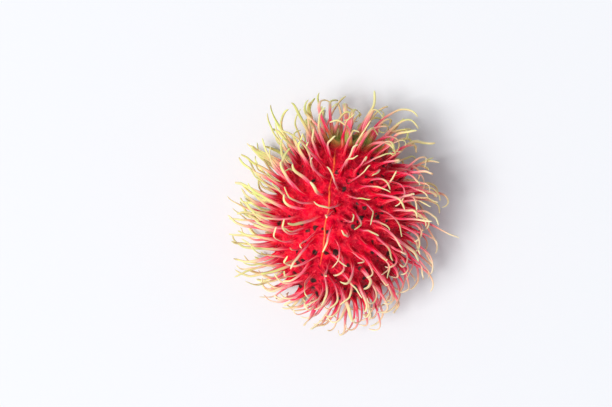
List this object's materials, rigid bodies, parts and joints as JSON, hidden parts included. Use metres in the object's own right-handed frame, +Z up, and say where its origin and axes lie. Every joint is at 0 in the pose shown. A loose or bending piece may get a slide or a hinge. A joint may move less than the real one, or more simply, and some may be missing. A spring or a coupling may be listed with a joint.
{
  "type": "rambutan",
  "caption": "Whole ripe rambutan fruit lying on its side: an egg-shaped red rind covered in soft, curved, tapering spines.",
  "frame": {"origin": "centre of the small flat spot on the rind's underside, on which the fruit rests", "axes": "+Z up; +Y along the fruit's long axis, towards the stem end; +X to the right, seen from above with the stem end away"},
  "size_m": [0.0712, 0.0758, 0.049],
  "materials": {
    "rind": "fresh, slightly waxy red rind; its spines fade to yellow-green tips"
  },
  "bodies": {
    "root": {"fruit": "rind"}
  },
  "joints": []
}
